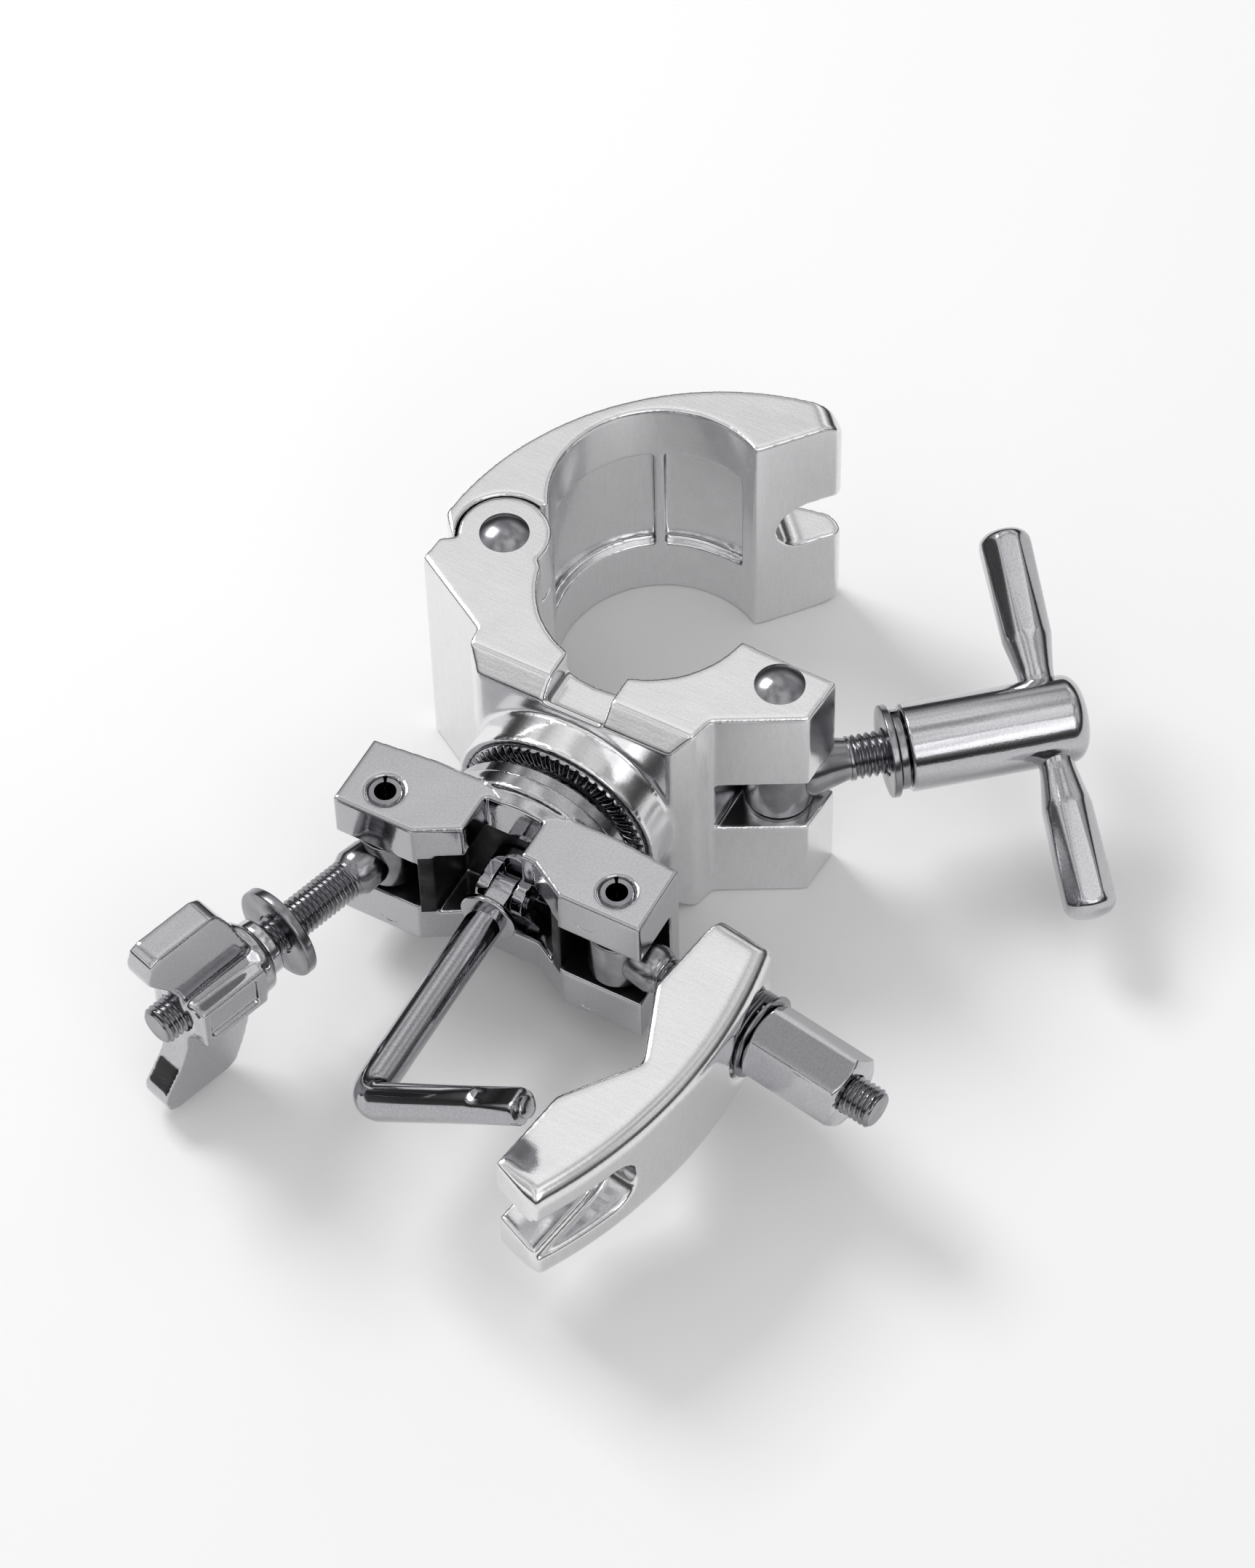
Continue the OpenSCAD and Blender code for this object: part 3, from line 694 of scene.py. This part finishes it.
# ---- ratchet ----
finish_piece(toothed_ring("fixed_teeth", BOSS_Y, -1, 0), "tube_clamp", "dark_chrome", "fixed_tooth_ring")
finish_piece(toothed_ring("turning_teeth", DISC_Y, 1, 0.5), "rod_clamp", "dark_chrome", "turning_tooth_ring")

SPRING_SEAT_Y = -29.2
spring_from, spring_to = DISC_Y + 1.7, SPRING_SEAT_Y
spring = finish_piece(
    coil("ratchet_coil", RATCHET_FRAME, spring_from, spring_to, 4.5, 6, 1.2),
    "ratchet_carrier", "spring_steel", "ratchet_spring")
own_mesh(spring)

# ---- ejector marks on the rod clamp's front faces ----
MARKS = ((-19.5, 12.6), (18.6, 12.6), (18.6, 35.4))
MARK_R = 2.1
MARK_WIRE = 0.11
for number, (x, z) in enumerate(MARKS):
    rings = []
    for k in range(25):
        a = math.radians(205 + 130 * k / 24)
        wire = MARK_WIRE * math.sin(math.pi * (k + 0.6) / 25.2)
        rings.append([
            (
                x + (MARK_R + wire * math.cos(b)) * math.cos(a), ROD_FRONT_Y + wire * math.sin(b),
                z + (MARK_R + wire * math.cos(b)) * math.sin(a),
            )
            for b in (TAU * i / 8 for i in range(8))
        ])
    finish_piece(lofted(f"ejector_mark_{number}", rings), "rod_clamp", "bright_chrome")

# ---- lever ----
finish_piece(lever(), "lever", "dark_chrome", "lever_rod")

# ---- wing bolt ----
finish_piece(
    swing_bolt("wing_swing_bolt", WING_FRAME, WING_BOLT_END), "wing_bolt", "plated_steel", "wing_eye_bolt")
finish_piece(
    washer("wing_flange", WING_FRAME, FLANGE_FROM, FLANGE_TO, FLANGE_R, SWING_R + 0.25, 0.4),
    "wing_washer", "plated_steel", "wing_flange_washer")
finish_piece(
    washer("wing_collar", WING_FRAME, COLLAR_FROM, COLLAR_TO, COLLAR_R, SWING_R + 0.15, 0.4),
    "wing_nut_carrier", "bright_chrome", "wing_nut_collar")

# ---- jaw bolt ----
finish_piece(
    swing_bolt("jaw_swing_bolt", JAW_FRAME, JAW_BOLT_END), "jaw_bolt", "plated_steel", "jaw_eye_bolt")
finish_piece(
    coil("jaw_coil", JAW_FRAME, SPRING_AT, SPRING_AT + SPRING_LENGTH, 3.2, 6.6, 0.95),
    "rod_jaw", "spring_steel", "jaw_spring")
finish_piece(
    washer("jaw_washer", JAW_FRAME, SLEEVE_AT - 0.8, SLEEVE_AT - 0.2, JAW_WASHER_R, SWING_R + 0.2, 0.15),
    "jaw_nut_carrier", "plated_steel", "jaw_spring_washer")
corner_r = SLEEVE_FLAT / math.cos(math.radians(30))
sleeve = (
    stepped([(SLEEVE_AT, corner_r - 0.9), (SLEEVE_AT + 0.7, corner_r + 0.1)], 0.1)
    + [(SLEEVE_AT + 1.2, corner_r - 0.05), (SLEEVE_END - 1.2, corner_r - 0.05)]
    + stepped([(SLEEVE_END - 0.7, corner_r + 0.1), (SLEEVE_END, corner_r - 0.9)], 0.1)
)
finish_piece(
    polygonal("hex_sleeve", JAW_FRAME, [(x, r, SLEEVE_FLAT) for x, r in sleeve], 6, 42, SWING_R + 0.05),
    "hex_nut", "bright_chrome", "hex_sleeve_nut", angle=40)

# ---- materials on the CAD nodes that stay ----
for row in frame["record"]["subparts"]:
    data = frame["nodes"][row["node"]].data
    data.materials.clear()
    data.materials.append(MATERIALS[row["material_slot"]])

# ---- floor and camera ----
FLOOR_COLOR = (0.93, 0.93, 0.93)
FLOOR_ROUGHNESS = 0.9
bm = bmesh.new()
bmesh.ops.create_grid(bm, x_segments=1, y_segments=1, size=4000)
floor = mesh_object("floor", bm, Matrix.Translation((0, 0, -0.05)))
floor_material = node_material("floor_white", FLOOR_COLOR, FLOOR_ROUGHNESS, 0.0)[0]
floor.data.materials.append(floor_material)

VIEW_TURN = math.radians(29.887)
VIEW_HEIGHT = math.radians(53.779)
VIEW_ROLL = math.radians(-1.607)
EYE = Vector((287.97, -510.44, 793.34)) * MM
back = Vector((
    math.sin(VIEW_TURN) * math.cos(VIEW_HEIGHT),
    -math.cos(VIEW_TURN) * math.cos(VIEW_HEIGHT),
    math.sin(VIEW_HEIGHT),
))
right = Vector((math.cos(VIEW_TURN), math.sin(VIEW_TURN), 0))
up = back.cross(right)
side = right * math.cos(VIEW_ROLL) + up * math.sin(VIEW_ROLL)
top = up * math.cos(VIEW_ROLL) - right * math.sin(VIEW_ROLL)
camera_data = bpy.data.cameras.new("camera")
camera_data.lens = 129.2
camera_data.sensor_width = 36
camera_data.clip_end = 20
camera = bpy.data.objects.new("camera", camera_data)
camera.matrix_world = Matrix((
    (side.x, top.x, back.x, EYE.x),
    (side.y, top.y, back.y, EYE.y),
    (side.z, top.z, back.z, EYE.z),
    (0, 0, 0, 1),
))
bpy.context.scene.collection.objects.link(camera)
bpy.context.scene.camera = camera

# ---- lights and sky: metres and watts ----
LIGHT_AIM = (0, -0.02, 0.02)
KEY_AT = (-0.74, 0.2, 0.85)
KEY_SIZE = 0.42
KEY_POWER = 6.0
FILL_AT = (0.7, -0.6, 0.8)
FILL_SIZE = 0.7
FILL_POWER = 1.4
# (height of the direction, brightness): a dark band above the horizon, then a bright ceiling
SKY = ((0.0, 0.14), (0.16, 0.04), (0.30, 0.14), (0.42, 0.5), (0.58, 0.95), (0.78, 0.74), (1.0, 1.0))
SKY_STRENGTH = 1.12
PATCH_SCALE = 2.6
PATCH_DARK = 0.45
PATCH_LIGHT = 1.12


def area_light(name, where, size, power):
    """A rectangular light turned towards the clamp; places and sizes are in metres."""
    light = bpy.data.lights.new(name, "AREA")
    light.shape = "RECTANGLE"
    light.size, light.size_y = size
    light.energy = power
    obj = bpy.data.objects.new(name, light)
    obj.location = where
    obj.rotation_euler = (Vector(where) - Vector(LIGHT_AIM)).to_track_quat("Z", "Y").to_euler()
    bpy.context.scene.collection.objects.link(obj)


area_light("key", KEY_AT, (KEY_SIZE, KEY_SIZE), KEY_POWER)
area_light("fill", FILL_AT, (FILL_SIZE, FILL_SIZE), FILL_POWER)

world = bpy.data.worlds.new("studio")
bpy.context.scene.world = world
world.use_nodes = True
sky_nodes, sky_links = world.node_tree.nodes, world.node_tree.links
backdrop = sky_nodes["Background"]
heading = sky_nodes.new("ShaderNodeTexCoord").outputs["Generated"]
split = sky_nodes.new("ShaderNodeSeparateXYZ")
sky_links.new(heading, split.inputs["Vector"])
ramp = sky_nodes.new("ShaderNodeValToRGB")
while len(ramp.color_ramp.elements) < len(SKY):
    ramp.color_ramp.elements.new(0.5)
for element, (position, level) in zip(ramp.color_ramp.elements, SKY):
    element.position = position
    element.color = (level, level, level, 1)
sky_links.new(split.outputs["Z"], ramp.inputs["Fac"])
# broad soft patches, like the panels and flags round a product table
clouds = sky_nodes.new("ShaderNodeTexNoise")
clouds.inputs["Scale"].default_value = PATCH_SCALE
clouds.inputs["Detail"].default_value = 1
sky_links.new(heading, clouds.inputs["Vector"])
patches = sky_nodes.new("ShaderNodeMapRange")
patches.inputs["From Min"].default_value = 0.36
patches.inputs["From Max"].default_value = 0.62
patches.inputs["To Min"].default_value = PATCH_DARK
patches.inputs["To Max"].default_value = PATCH_LIGHT
sky_links.new(clouds.outputs["Fac"], patches.inputs["Value"])
panels = sky_nodes.new("ShaderNodeMix")
panels.data_type = "RGBA"
panels.blend_type = "MULTIPLY"
panels.inputs["Factor"].default_value = 1
sky_links.new(ramp.outputs["Color"], panels.inputs["A"])
sky_links.new(patches.outputs["Result"], panels.inputs["B"])
sky_links.new(panels.outputs["Result"], backdrop.inputs["Color"])
backdrop.inputs["Strength"].default_value = SKY_STRENGTH
bpy.context.scene.view_settings.view_transform = "Standard"
